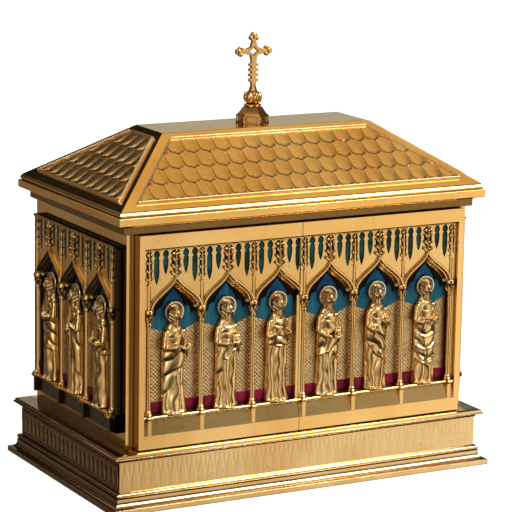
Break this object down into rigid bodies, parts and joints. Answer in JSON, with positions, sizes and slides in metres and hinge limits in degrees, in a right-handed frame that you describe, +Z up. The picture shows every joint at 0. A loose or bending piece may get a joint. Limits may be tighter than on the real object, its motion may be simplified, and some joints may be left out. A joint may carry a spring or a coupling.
{
  "type": "altar tabernacle",
  "caption": "Gilt metal altar tabernacle: a hollow cabinet with two hinged leaves, cast gothic arcades with standing figures, a moulded plinth and a hipped scale roof with a cross.",
  "frame": {"origin": "middle of the plinth's underside", "axes": "+Z up, the doors face -Y, +X to the viewer's right"},
  "size_m": [0.5608, 0.3378, 0.5822],
  "materials": {
    "gilt": "polished gilt brass",
    "casting": "cast gilt brass with darker hollows",
    "figure": "cast and chased gilt brass",
    "scales": "stamped gilt brass",
    "finial": "polished gilt brass",
    "enamel": "glossy blue, green and crimson enamel with a gilt diaper field"
  },
  "bodies": {
    "case": {"plinth": "gilt", "case": "gilt", "roof": "gilt", "roof_scales_front": "scales", "roof_scales_right": "scales", "roof_scales_back": "scales", "roof_scales_left": "scales", "cross_drum": "finial", "cross_knop": "finial", "cross": "finial", "left_side_ground": "enamel", "left_side_arcade": "casting", "figure_left_1": "figure", "figure_left_2": "figure", "figure_left_3": "figure", "right_side_ground": "enamel", "right_side_arcade": "casting", "figure_right_1": "figure", "figure_right_2": "figure", "figure_right_3": "figure"},
    "left_door": {"left_door": "gilt", "left_door_ground": "enamel", "left_door_arcade": "casting", "figure_front_1": "figure", "figure_front_2": "figure", "figure_front_3": "figure"},
    "right_door": {"right_door": "gilt", "right_door_ground": "enamel", "right_door_arcade": "casting", "figure_front_4": "figure", "figure_front_5": "figure", "figure_front_6": "figure"}
  },
  "joints": [
    {"name": "left_hinge", "type": "hinge", "parent": "case", "child": "left_door", "pos_m": [-0.234, -0.146, 0.2155], "axis": [0, 0, -1], "range_deg": [0, 100]},
    {"name": "right_hinge", "type": "hinge", "parent": "case", "child": "right_door", "pos_m": [0.234, -0.146, 0.2155], "axis": [0, 0, 1], "range_deg": [0, 100]}
  ]
}
